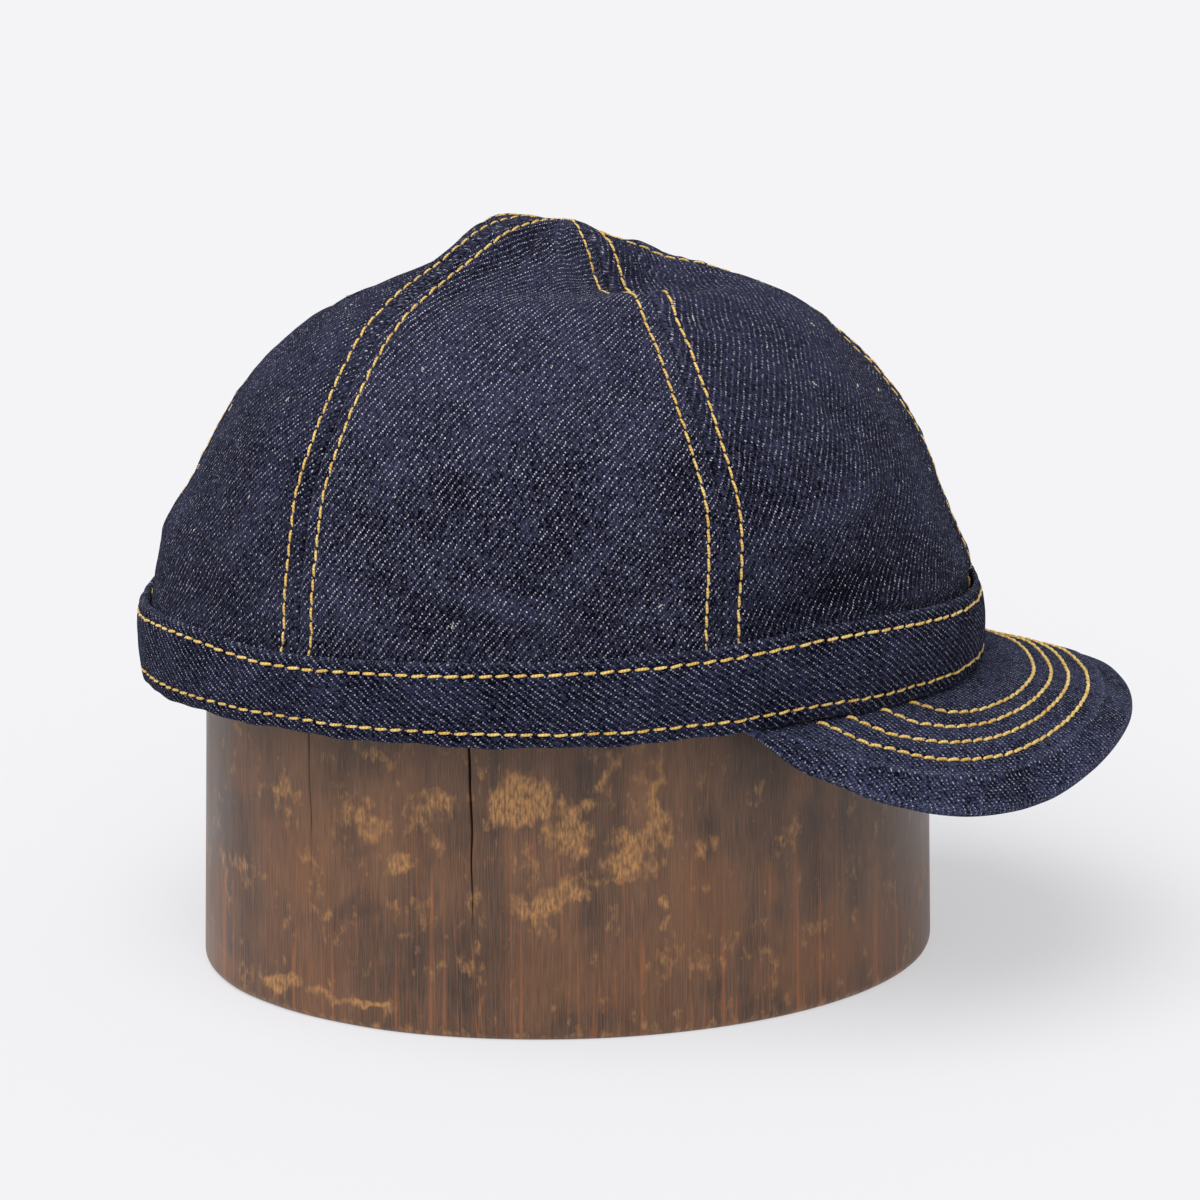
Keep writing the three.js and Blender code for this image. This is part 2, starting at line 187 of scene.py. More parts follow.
# Crown: six gores of raw 14 oz denim, sewn with plain seams that are pressed open, so each seam is
# a ditch between two low ridges over the allowances inside. The gores follow the CAD's drawn lines.
band_length, band_width, band_height = 212.0, 174.0, 21.5
band_level, cap_back = 75.0, 1.9
crown_level, crown_height, crown_tuck = 74.0, 112.5, 16.0
crown_inset = 3.9       # the crown's foot lies this far inside the band's widest line
crown_half_length = band_length / 2 - crown_inset
crown_half_width = band_width / 2 - crown_inset
crown_radius, band_radius = 92.0, 97.0      # mean radii, which turn an angle into mm round the cap
brow_share, brow_reach = 0.72, 0.18     # shares of the height where dents go down instead of in
lean_end, lean_fade = 64.0, 25.0    # degrees from the peak's middle where the forward lean ends
pole = np.array([1.5, 6.0])
line_angles = np.array([0, 68, 97, 127.5, 180])

# Columns are the five lines: front, front seam, side, rear seam and rear. Rows go up from the rim.
crown_out = np.array([
    [0.99, 1, 1, 1, 1],
    [0.942, 1.01, 1, 0.98, 0.968],
    [0.892, 1.009, 0.992, 0.96, 0.898],
    [0.833, 0.99, 0.962, 0.93, 0.836],
    [0.76, 0.887, 0.885, 0.86, 0.757],
    [0.66, 0.775, 0.777, 0.765, 0.664],
    [0.578, 0.668, 0.685, 0.69, 0.587],
    [0.43, 0.545, 0.585, 0.6, 0.45],
    [0.315, 0.4, 0.45, 0.49, 0.36],
    [0.225, 0.255, 0.33, 0.38, 0.295],
    [0.14, 0.17, 0.215, 0.285, 0.235],
    [0.06, 0.08, 0.11, 0.16, 0.16],
    [0, 0, 0, 0, 0],
])
crown_up = np.array([
    [0.21, 0.225, 0.205, 0.18, 0.16],
    [0.31, 0.31, 0.31, 0.3, 0.3],
    [0.415, 0.415, 0.415, 0.415, 0.415],
    [0.53, 0.53, 0.53, 0.53, 0.53],
    [0.64, 0.642, 0.645, 0.645, 0.64],
    [0.735, 0.75, 0.75, 0.753, 0.737],
    [0.795, 0.833, 0.828, 0.82, 0.8],
    [0.858, 0.888, 0.878, 0.876, 0.86],
    [0.889, 0.878, 0.895, 0.93, 0.893],
    [0.903, 0.874, 0.925, 0.972, 0.934],
    [0.942, 0.935, 0.968, 1, 0.977],
    [0.972, 0.968, 0.99, 1.004, 1.004],
    [0.982, 0.982, 0.982, 0.982, 0.982],
])
# Dents of the CAD's crown: degrees from the peak, share of its height, reach both ways, depth in mm
dents = np.array([
    [-50, 0.86, 30, 0.035, 1.6],
    [-78, 0.3, 20, 0.09, 1.2],
    [-160, 0.53, 16, 0.07, 1.0],
    [48, 0.87, 34, 0.09, 6.0],
    [128, 0.93, 40, 0.1, 8.0],
])
# The band's edges: degrees from the peak, foot and rim as shares of its height
band_edges = np.array([
    [0, 0.08, 0.98],
    [20, 0.1, 1.06],
    [40, 0.13, 1.17],
    [55, 0.15, 1.18],
    [70, 0.09, 1.09],
    [90, 0.03, 1.01],
    [110, 0.005, 0.93],
    [130, -0.02, 0.86],
    [150, -0.07, 0.9],
    [180, -0.18, 0.75],
])
# Soft folds of the slack cloth: degrees from the peak, height in mm, half length and half width in
# mm, tilt in degrees from level, and how far it stands out in mm. The last rows, and those at
# positive degrees, are what the crown's outline shows of its top and far side.
soft_folds = np.array([
    [-95, 107.8, 20, 2.8, -20, 1.5],
    [-98, 101.5, 18, 4.0, -20, -1.3],
    [-108, 121, 12, 7.0, -24, -0.6],
    [-104, 133, 8, 8.0, 10, -1.4],
    [-99, 149, 13, 5.0, 84, 1.0],
    [-91, 119, 9, 5.5, 62, -1.2],
    [-85.5, 114, 8, 5.5, 66, 1.0],
    [-84, 140, 16, 6.0, 76, -0.8],
    [-77, 128, 12, 5.0, 84, 0.7],
    [-46, 127, 19, 3.2, 13, 1.7],
    [-44, 107, 30, 6.8, 4, -2.9],
    [-50, 137, 8, 6.0, 20, -1.0],
    [-66, 137, 7, 8.0, 70, -0.7],
    [-38, 146, 9, 5.0, -30, -0.9],
    [-30, 154, 12, 6.0, -35, 0.9],
    [-22, 118, 12, 6.0, -30, 0.8],
    [-118, 150, 14, 8.0, 60, 0.6],
    [-139, 118, 14, 4.5, 60, 1.0],
    [-150, 140, 16, 6.0, 50, -1.0],
    [-146, 104, 12, 5.0, 10, -0.8],
    [-166, 128, 10, 6.0, 40, 0.8],
    [60, 120, 18, 5.0, 20, 1.2],
    [35, 108, 20, 5.0, -8, -1.2],
    [110, 108, 18, 4.0, -16, 1.2],
    [150, 125, 14, 6.0, 40, 0.9],
    [170, 168, 48, 11, 0, -3.0],
    [-150, 181, 50, 6, 0, -2.6],
    [0, 128, 44, 24, 0, 1.3],
    [0, 182.5, 60, 4, 0, -2.2],
    [10, 175.5, 24, 4, 0, 2.0],
    [138, 163.5, 24, 7, 0, -3.2],
    [162, 157, 20, 12, 0, -1.9],
    [-167, 157, 18, 12, 0, 1.3],
    [15, 167, 20, 9, 0, -2.8],
    [-13, 166, 18, 9, 0, 1.5],
])


def ease(t):
    """Smooth step of t from 0 to 1, flat at both ends."""
    t = np.clip(t, 0, 1)
    return t * t * (3 - 2 * t)


def bell(t, width):
    """Bell curve of t: 1 where t is 0, and about a third at the width."""
    return np.exp(-(t / width) ** 2)


def unit(vectors):
    """The same vectors at length 1."""
    return vectors / np.maximum(np.linalg.norm(vectors, axis=-1, keepdims=True), 1e-9)


def length_along(points, axis=0):
    """Length from the first point to each point, along one way of a row or grid of points."""
    steps = np.linalg.norm(np.diff(points, axis=axis), axis=-1)
    return np.insert(np.cumsum(steps, axis=axis), 0, 0, axis=axis)


def through(values, place):
    """Catmull-Rom curve through the rows of a table, read at places counted in rows."""
    last = len(values) - 1
    i = np.clip(np.floor(place).astype(int), 0, last - 1)
    t = (place - i)[..., None]
    before, a = values[np.maximum(i - 1, 0)], values[i]
    b, after = values[i + 1], values[np.minimum(i + 2, last)]
    bend = (2 * before - 5 * a + 4 * b - after) * t
    turn = (3 * a - before - 3 * b + after) * t * t
    return a + 0.5 * t * (b - before + bend + turn)


def band_height_at(angle, column):
    """Height of the band's foot (column 1) or rim (column 2) at angles in radians."""
    turn = np.abs((np.degrees(angle) + 180) % 360 - 180)
    place = np.interp(turn, band_edges[:, 0], np.arange(len(band_edges)))
    return band_level + band_height * through(band_edges[:, column:column + 1], place)[..., 0]


def band_tall(angle):
    """Height of the band from foot to rim, in mm, at angles in radians."""
    return band_height_at(angle, 2) - band_height_at(angle, 1)


def on_oval(half_length, half_width, angle, out):
    """Point on one of the cap's ovals, moved out along the oval's own normal."""
    across, along = half_width * np.cos(angle), half_length * np.sin(angle)
    size = np.hypot(across, along)
    return np.stack([
        half_length * np.cos(angle) + out * across / size - cap_back,
        half_width * np.sin(angle) + out * along / size,
    ], -1)


def crown_point(angle, rung):
    """Outside of the crown. The foot of each meridian lies on the oval behind the band, and the
    tables say how far out from the pole and how high the cloth is at each rung of that meridian."""
    turn = np.minimum(np.abs(np.degrees(angle)), 180)
    at = np.interp(turn, line_angles, np.arange(5))
    near = np.clip(np.floor(at).astype(int), 0, 3)
    blend = ease(at - near)
    over = np.clip(rung, 0, 12)
    shares = []
    for table in (crown_out, crown_up):
        drawn = through(table, over)
        a = np.take_along_axis(drawn, near[..., None], -1)[..., 0]
        b = np.take_along_axis(drawn, near[..., None] + 1, -1)[..., 0]
        shares.append(a + (b - a) * blend)
    out, up = shares
    hidden = rung < 0
    dent = np.zeros_like(up)
    for at_degrees, at_up, spread, tall, depth in dents:
        across = ((np.degrees(angle) - at_degrees + 180) % 360 - 180) / spread
        dent += depth * np.exp(-(across ** 2) - ((up - at_up) / tall) ** 2)
    dent = np.where(hidden, 0, dent)
    foot = on_oval(crown_half_length, crown_half_width, angle, 0)
    reach = np.linalg.norm(foot - pole, axis=-1)
    flatness = ease((up - brow_share) / brow_reach)
    share = np.where(hidden, np.minimum(out, 1), out - dent * (1 - flatness) / reach)
    flat = pole + (foot - pole) * share[..., None]
    rim = band_height_at(angle, 2) - crown_level - crown_height * up
    settle = np.maximum(1 - over, 0)
    level = crown_level + crown_height * up + rim * settle - dent * flatness
    level = level + crown_tuck * np.minimum(rung, 0)
    return np.concatenate([flat, level[..., None]], -1)


def crown_normal(angle, rung):
    """Outward unit normal of the crown, from its slopes round and up."""
    round_step, up_step = 2e-3, 0.03
    around = crown_point(angle + round_step, rung) - crown_point(angle - round_step, rung)
    rise = crown_point(angle, rung + up_step) - crown_point(angle, rung - up_step)
    return unit(np.cross(around, rise))


def ripple(points, wavelength, seed):
    """Smooth random height from about -1 to 1: the mean of ten sine waves through space."""
    draw = np.random.default_rng(seed)
    ways = draw.normal(size=(10, 3))
    ways /= np.linalg.norm(ways, axis=1, keepdims=True)
    ways *= 2 * np.pi / (wavelength * draw.uniform(0.7, 1.5, (10, 1)))
    phases = draw.uniform(0, 2 * np.pi, 10)
    return np.sin(points @ ways.T + phases).mean(-1) * 2.2


def fold_height(angle, points):
    """How far the soft folds lift the cloth at points of the crown."""
    height = np.zeros(angle.shape)
    for at, level, long, wide, tilt, lift in soft_folds:
        x = np.radians((np.degrees(angle) - at + 180) % 360 - 180) * crown_radius
        z = points[..., 2] - level
        turn = math.radians(tilt)
        along = x * math.cos(turn) + z * math.sin(turn)
        across = z * math.cos(turn) - x * math.sin(turn)
        height += lift * np.exp(-(along / long) ** 2 - (across / wide) ** 2)
    return height


row_offset = 4.0        # the topstitch rows run this far from the seam
allowance = 8.5         # each seam allowance inside reaches this far


def seam_height(distance, along, seed):
    """Height of the cloth beside a pressed-open seam: a ditch at the seam, a ridge over the
    allowance, a groove pulled in by the stitches, and puckers between the stitches."""
    over = 1 - ease((distance - allowance + 1) / 2)
    ditch = -1.15 * bell(distance, 0.75)
    groove = -0.3 * bell(distance - row_offset, 0.5)
    draw = np.random.default_rng(seed)
    waves = sum(
        np.sin(2 * np.pi * along / length + draw.uniform(0, 6.28)) for length in (6.3, 9.7, 15.1)
    )
    pucker = 0.11 * waves * bell(distance - 2.4, 1.8)
    flare = 0.06 * waves * bell(distance - 6.2, 1.8)
    return 0.55 * over + ditch + groove + pucker + flare


class Gore:
    """One gore of the crown, between two seams given in radians, from behind the band to the pole.
    A place on it is a share of the way across and a rung. Each seam may bend a little low down."""

    def __init__(self, first, last, bends, seed):
        self.first, self.seed = first, seed
        rungs = np.concatenate([np.linspace(-1, 0, 12)[:-1], np.linspace(0, 11.985, 700)])
        low, high = (
            seam + math.radians(bend) * (1 - ease((rungs - 2.5) / 4))[:, None]
            for seam, bend in zip((first, last), bends)
        )
        columns = 141
        angles = low + (high - low) * np.linspace(0, 1, columns)
        points = crown_point(angles, np.repeat(rungs[:, None], columns, 1))
        self.rungs, self.angles = rungs, angles
        self.across = length_along(points, 1)
        self.width = self.across[:, -1]
        self.climb = length_along(points[:, columns // 2])
        self.edge = length_along(points[:, 0])

    def angle_at(self, share, rung):
        """Angle at a share of the way across the gore, counted in mm of cloth, at a rung."""
        row = np.interp(rung, self.rungs, np.arange(len(self.rungs)))
        low = np.clip(np.floor(row).astype(int), 0, len(self.rungs) - 2)
        part = row - low
        shape = self.across / self.width[:, None]
        spread = 2.0    # sets each rung's shares apart from the next one's, so one table holds all
        keys = (shape + spread * np.arange(len(self.rungs))[:, None]).ravel()
        values = self.angles.ravel()
        below = np.interp(share + spread * low, keys, values)
        above = np.interp(share + spread * (low + 1), keys, values)
        return below + (above - below) * part

    def cloth(self, share, rung):
        """Point, normal and looseness of the finished cloth at a share across and a rung."""
        width = np.interp(rung, self.rungs, self.width)
        angle = self.angle_at(share, rung)
        point, normal = crown_point(angle, rung), crown_normal(angle, rung)
        degrees = np.degrees(angle)
        # the relief of both seams, which fades near the pole, where the gore is narrow
        along = np.interp(rung, self.rungs, self.edge)
        left = seam_height(share * width, along, self.seed)
        right = seam_height((1 - share) * width, along, self.seed + 1)
        seams = np.where(share < 0.5, left, right)
        seams = seams * ease(rung * 1.5 + 0.35) * np.minimum(1, width / 14)
        # slack cloth between the seams, held at the band's rim
        free = ease(rung * 1.2)
        slack = 0.5 * ripple(point, 42, 5) + 0.2 * ripple(point, 15, 6) + 0.05 * ripple(point, 7, 7)
        folds = fold_height(angle, point) * ease((12 - rung) / 1.2)
        # a crease under the front of the crown's knob
        crease = bell(rung - 6.9, 0.4) - 0.7 * bell(rung - 7.9, 0.5)
        crease = 1.25 * crease * bell(degrees + 58, 34)
        loose = slack * free + folds * free + crease
        # at the front the crown leans out over the rim, and below the rim it meets the band
        over_rim = point[..., 2] - band_height_at(angle, 2)
        lean = 2.1 * ease(over_rim / 3) * bell(over_rim - 3, 10)
        lean = lean * ease((lean_end - np.abs(degrees)) / lean_fade)
        skirt = 0.75 * ease(-3 * rung)
        lift = seams + loose + lean + skirt
        return point + normal * lift[..., None], normal, loose


def grid_quads(rows, columns, closed=False):
    """Faces of a grid of rows by columns of points. A closed grid's last column meets its first."""
    i, j = np.meshgrid(np.arange(rows - 1), np.arange(columns - (not closed)), indexing="ij")
    nxt = (j + 1) % columns
    quads = [i * columns + j, i * columns + nxt, (i + 1) * columns + nxt, (i + 1) * columns + j]
    return np.stack(quads, -1).reshape(-1, 4)


def shell(outer, inner):
    """Points and faces of a closed cloth wall from its outer and inner grids."""
    rows, columns = outer.shape[:2]
    face = grid_quads(rows, columns)
    count = rows * columns
    i, j = np.arange(rows - 1), np.arange(columns - 1)
    low, high = j, (rows - 1) * columns + j
    left, right = i * columns, i * columns + columns - 1
    walls = [
        np.stack([low, low + count, low + 1 + count, low + 1], -1),
        np.stack([high, high + 1, high + 1 + count, high + count], -1),
        np.stack([left, left + columns, left + columns + count, left + count], -1),
        np.stack([right, right + count, right + columns + count, right + columns], -1),
    ]
    faces = np.concatenate([face, face[:, ::-1] + count, *walls])
    return np.concatenate([outer.reshape(-1, 3), inner.reshape(-1, 3)]), faces


cloth_wall = 0.9
# distances from a seam at which the gore's mesh has a column, close together at ditch and stitches
seam_columns = np.array([
    0, 0.3, 0.6, 0.95, 1.4, 2, 2.7, 3.2, 3.6, 4, 4.4, 4.8, 5.4, 6.2, 7, 7.7, 8.4, 9.2, 10.2, 11.5,
])
gore_rows = 176

# degrees from the peak of each gore's two seams, and how many degrees each seam bends low down
cuts = {
    "front_left": (1.6, 68, 0, 0), "side_left": (68, 127.5, 0, 0), "back_left": (127.5, 177, 0, 0),
    "front_right": (-68, 1.6, 1.4, 0), "side_right": (-126.7, -68, 0.5, 1.4),
    "back_right": (-183, -126.7, 0, 0.5),
}
gores = {}
for place, (first, last, *bends) in cuts.items():
    gores[place] = Gore(math.radians(first), math.radians(last), bends, 40 + 2 * len(gores))


def gore_shares(width):
    """Shares across a gore of its mesh's columns, for the widths of its rows."""
    reach = seam_columns[-1]
    squeeze = np.minimum(1, width / (2 * reach) * 0.8)[:, None]
    edge = seam_columns * squeeze / width[:, None]
    middle = np.linspace(0, 1, 36)[1:-1]
    inner = edge[:, -1:] + (1 - 2 * edge[:, -1:]) * middle
    return np.concatenate([edge, inner, 1 - edge[:, ::-1]], 1)


gore_pieces = {}
for place, gore in gores.items():
    climb = np.linspace(gore.climb[0], gore.climb[-1], gore_rows)
    rung = np.interp(climb, gore.climb, gore.rungs)
    share = gore_shares(np.interp(rung, gore.rungs, gore.width))
    rungs = np.repeat(rung[:, None], share.shape[1], 1)
    outer, normal, loose = gore.cloth(share, rungs)
    points, faces = shell(outer, outer - normal * cloth_wall)
    width = np.interp(rungs, gore.rungs, gore.width)
    weave = np.stack([(share - 0.5) * width, length_along(outer)], -1).reshape(-1, 2)
    near = np.minimum(share, 1 - share) * width
    wear = bell(near - 0.8, 0.3) * (0.25 + 0.75 * ease((rungs - 4) / 3))
    # painted light: the top is made paler than the sides, as if lit more from above
    loose = loose + 1.4 * ease((outer[..., 2] - 131) / 32)
    piece = skin("gore_" + place, points, faces, np.tile(weave, (2, 1)), {
        "wear": np.tile(wear.ravel(), 2), "raised": np.tile(loose.ravel(), 2),
    })
    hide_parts("crown_panel_" + place)
    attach(piece, "root")
    gore_pieces[place] = piece


def raw_denim(name, dark, light, sheen, pale, rarity=1.7):
    """Raw indigo denim, a right-hand twill of three over one: dark warp yarns cover the face, and
    the undyed weft shows as one pale dot in four, each pick's dots one warp yarn further on. pale
    is how white the dots are, and a higher rarity leaves fewer white ones."""
    warp_pitch, weft_pitch = 0.432, 0.57    # 59 ends and 45 picks to the inch
    return new_material(name, {
        "Base Color": "colour",
        "Roughness": 0.9,
        "Specular IOR Level": 0.0,
        "Sheen Weight": sheen,
        "Sheen Roughness": 0.45,
        "Sheen Tint": linear("#c9d0ea"),
        "Normal": "bump",
    }, [
        # cells, one for each crossing of a warp yarn with a pick, on yarns that waver a little
        ("uv", "UV"),
        ("waver", "NOISE", "uv", 0.5, 3.0),
        ("waver", "VECTOR_SUBTRACT", "waver.1", (0.5, 0.5, 0.5)),
        ("cell", "VECTOR_MULTIPLY", "uv", (1 / warp_pitch, 1 / weft_pitch, 0)),
        ("cell", "VECTOR_MULTIPLY_ADD", "waver", (2.2, 2.2, 0), "cell"),
        ("whole", "VECTOR_FLOOR", "cell"),
        ("part", "VECTOR_SUBTRACT", "cell", "whole"),
        # the cells where the weft lies on the face
        ("index", "SPLIT", "whole"),
        ("step", "SUBTRACT", "index.0", "index.1"),
        ("step", "FLOORED_MODULO", "step", 4.0),
        ("on_face", "LESS_THAN", "step", 0.5),
        # a soft round dot in each, out of its middle and more or less white by chance
        ("luck", "CHANCE", "whole"),
        ("jitter", "VECTOR_MULTIPLY_ADD", "luck.1", (0.36, 0.3, 0), (-0.68, -0.65, 0)),
        ("offset", "VECTOR_ADD", "part", "jitter"),
        ("offset", "VECTOR_MULTIPLY", "offset", (2.1, 2.3, 0)),
        ("far", "VECTOR_LENGTH", "offset"),
        ("blob", "SMOOTH", "far.1", 1.1, 0.55, 0, 1),
        ("shows", "POWER", "luck", rarity),
        ("shows", "MULTIPLY_ADD", "shows", pale, 0.05),
        ("dot", "MULTIPLY", "blob", "on_face"),
        ("dot", "MULTIPLY", "dot", "shows"),
        # the warp's tone: slubs along it, lint, broad clouds, chance, and paler on ridges
        ("slub", "VECTOR_MULTIPLY", "uv", (2.3, 0.09, 0)),
        ("slub", "NOISE", "slub", 1.0, 2.0),
        ("lint", "NOISE", "uv", 2.6, 2.0),
        ("cloud", "NOISE", "uv", 0.06, 4.0),
        ("tone", "ADD", "slub", "lint"),
        ("tone", "MULTIPLY_ADD", "cloud", 1.35, "tone"),
        ("chance", "SPLIT", "luck.1"),
        ("tone", "MULTIPLY_ADD", "chance.2", 1.2, "tone"),
        ("tone", "RANGE", "tone", 1.85, 2.9, 0, 1),
        # paler on ridges, darker in hollows: partly rubbed wear, partly painted light and shade
        ("raised", "MARK"),
        ("tone", "MULTIPLY_ADD", "raised", 0.15, "tone"),
        ("tone", "CLAMP", "tone"),
        # pale flecks where edges are rubbed
        ("wear", "MARK"),
        ("flecks", "NOISE", "uv", 2.4, 3.0),
        ("flecks", "RANGE", "flecks", 0.5, 0.68, 0, 0.8),
        ("rub", "MULTIPLY", "wear", "flecks"),
        ("yarn", "MIX", "tone", linear(dark), linear(light)),
        ("yarn", "MIX", "rub", "yarn", linear("#8088a4")),
        ("colour", "MIX", "dot", "yarn", linear("#dcdde6")),
        # each yarn is round, and lint lies on it
        ("local", "SPLIT", "offset"),
        ("crest", "MULTIPLY", "local.0", "local.0"),
        ("height", "SUBTRACT", 1.0, "crest"),
        ("height", "ADD", "height", "lint"),
        ("bump", "BUMP", "height", 0.7, 0.00012),
    ])


# Both give the eye a matt, nearly black blue under fine slanting rows of white dots. The sides have
# more and whiter dots, and the front and back are a little darker.
denim_sides = raw_denim("raw_indigo_denim_sides", "#0b0b17", "#393a50", 0.035, 0.76)
denim_ends = raw_denim("raw_indigo_denim_ends", "#0b0b17", "#36374d", 0.035, 0.72, 3.0)
for place, piece in gore_pieces.items():
    piece.data.materials.append(denim_sides if "side" in place else denim_ends)


# Topstitching of the crown: gold core-spun thread, size 20, in lock stitch. One row runs round each
# gore, up beside one seam and down the next. Each stitch is a short cord that dips at its ends.
def sewn_row(path, normal, pitch, width, gap, seed):
    """Points and faces of one row of stitches laid along a path of points with normals. Each
    stitch is six-sided, rises from the cloth and dips back, and lies a few degrees askew."""
    def read(values, places):
        """Values along the path, read at places in mm."""
        return np.stack([np.interp(places, run, values[:, k]) for k in range(3)], -1)

    run = length_along(path)
    count = max(int(round(run[-1] / pitch)), 1)
    pitch = run[-1] / count
    draw = np.random.default_rng(seed)
    rings, sides = 7, 6
    t = np.linspace(0, 1, rings)
    start = (np.arange(count) + draw.normal(0, 0.02, count)) * pitch + gap / 2
    length = pitch - gap + draw.normal(0, 0.03, count) * pitch
    at = start[:, None] + t * length[:, None]
    point, up = read(path, at), unit(read(normal, at))
    tangent = unit(read(path, at + 0.4) - read(path, at - 0.4))
    side = np.cross(up, tangent)
    arch = 1 - (2 * t - 1) ** 4
    rise = -0.3 + arch * (0.3 + width * 0.34) + draw.normal(0, 0.03, (count, 1))
    askew = (t - 0.5) * (0.34 + draw.normal(0, 0.08, (count, 1)))
    centre = point + up * rise[..., None] + side * askew[..., None]
    radius = width / 2 * (0.72 + 0.28 * np.sin(np.pi * t) ** 0.5)[None, :, None]
    turn = np.arange(sides) / sides * 2 * np.pi
    ring = (
        side[:, :, None] * np.cos(turn)[:, None] + up[:, :, None] * (0.85 * np.sin(turn))[:, None]
    )
    points = centre[:, :, None] + ring * radius[..., None]
    quads = grid_quads(rings, sides, closed=True)[:, ::-1]
    base = (np.arange(count) * rings * sides)[:, None, None]
    quads = (quads[None] + base).reshape(-1, 4)
    caps = np.stack([np.arange(sides), np.arange(sides)[::-1] + (rings - 1) * sides])
    caps = (caps[None] + base).reshape(-1, sides)
    lay = np.broadcast_to(at[:, :, None], points.shape[:3])
    wrap = np.broadcast_to(turn / (2 * np.pi), points.shape[:3])
    uv = np.stack([lay, wrap], -1)
    return points.reshape(-1, 3), [quads, caps], uv.reshape(-1, 2)


def sewn_piece(name, rows, material):
    """One object from several rows of stitches."""
    points, faces, uvs = zip(*rows)
    bases = np.cumsum([0] + [len(row) for row in points[:-1]])
    quads, caps = (
        np.concatenate([pair[k] + base for pair, base in zip(faces, bases)]) for k in (0, 1)
    )
    piece = skin(name, np.concatenate(points), [quads, caps], np.concatenate(uvs))
    piece.data.materials.append(material)
    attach(piece, "root")
    return piece


# a warm yellow that stands out from the blue, with a slanting shine and shade from the twist
twist_length = 0.8      # mm of thread to one turn
gold_thread = new_material("gold_core_spun_thread", {
    "Base Color": "gold",
    "Roughness": 0.55,
    "Specular IOR Level": 0.35,
    "Sheen Weight": 0.2,
    "Normal": "bump",
}, [
    ("uv", "UV"), ("lay", "SPLIT", "uv"),
    ("twist", "MULTIPLY_ADD", "lay.0", 1 / twist_length, "lay.1"),
    ("twist", "MULTIPLY", "twist", 2 * math.pi), ("twist", "SINE", "twist"),
    ("place", "PLACE"), ("mottle", "NOISE", "place.3", 260.0, 2.0),
    ("shade", "MULTIPLY_ADD", "twist", 0.22, "mottle"),
    ("shade", "RANGE", "shade", 0.2, 0.8, 0, 1),
    ("gold", "MIX", "shade", linear("#cc9a36"), linear("#f8da84")),
    ("bump", "BUMP", "twist", 0.5, 0.0001),
])

for place, gore in gores.items():
    width = gore.width
    usable = (gore.rungs > -0.4) & (width > 2 * row_offset + 0.6)
    rung = gore.rungs[usable]
    share = row_offset / width[usable]
    rung = np.concatenate([rung, rung[::-1]])
    share = np.concatenate([share, 1 - share[::-1]])
    path, normal, _ = gore.cloth(share, rung)
    row = sewn_row(path, normal, pitch=3.5, width=0.7, gap=0.08,
                   seed=60 + int(abs(gore.first) * 10))
    sewn_piece("topstitch_gore_" + place, [row], gold_thread)


# Lint: small undyed nubs spun into the weft, and a few loose ones that cling to the cloth.
# dull cream specks, with no shine
undyed_lint = new_material("undyed_cotton_lint", {
    "Base Color": linear("#cfc7b8"),
    "Roughness": 0.95,
    "Specular IOR Level": 0.0,
})
draw = np.random.default_rng(11)
# the gore each lies on, its share across, its rung and its length in mm
nubs = [
    ("side_right", 0.855, 1.0, 1.3), ("front_right", 0.66, 4.3, 1.2),
    ("front_right", 0.83, 4.0, 1.5),
]
for place in gores:
    for share, rung in zip(draw.uniform(0.1, 0.9, 9), draw.uniform(0.5, 8, 9)):
        nubs.append((place, share, rung, draw.uniform(0.4, 0.7)))
rows = []
for place, share, rung, long in nubs:
    gore = gores[place]
    slant = draw.normal(0, 0.2)
    width = np.interp(rung, gore.rungs, gore.width)
    path, normal, _ = gore.cloth(
        share + np.array([-0.5, 0, 0.5]) * long / width, rung + np.array([-0.2, 0, 0.2]) * slant)
    rows.append(sewn_row(path, normal, long, width=0.34, gap=0.0, seed=len(rows)))
sewn_piece("lint_nubs", rows, undyed_lint)


# Band: a strip of the same denim cut along the warp, so its twill leans the other way. Both edges
# are folded under and held by a row of stitches, which leaves a rounded lip outside each row.
band_wall, band_swell = 2.2, 1.2
upper_row, lower_row = 3.0, 3.7     # distance of each row from the rim and from the foot
upper_pitch, lower_pitch = 4.1, 3.9
# soft creases across the band: degrees from the peak, lean in mm per mm of height, and lift in mm
band_creases = [
    (-96, 0.1, -0.5), (-90, -0.2, 0.45), (-82, 0.25, -0.5), (-77.5, 0.3, 0.5), (-72, 0.2, -0.4),
    (-61, 1.1, 0.55), (-57.5, 1.0, -0.5), (-121, -0.3, 0.35), (-137, 0.4, -0.4), (-40, 0.5, 0.3),
    (40, 0.6, 0.5), (85, -0.3, -0.5), (92, -0.2, 0.4), (140, 0.4, 0.4),
]


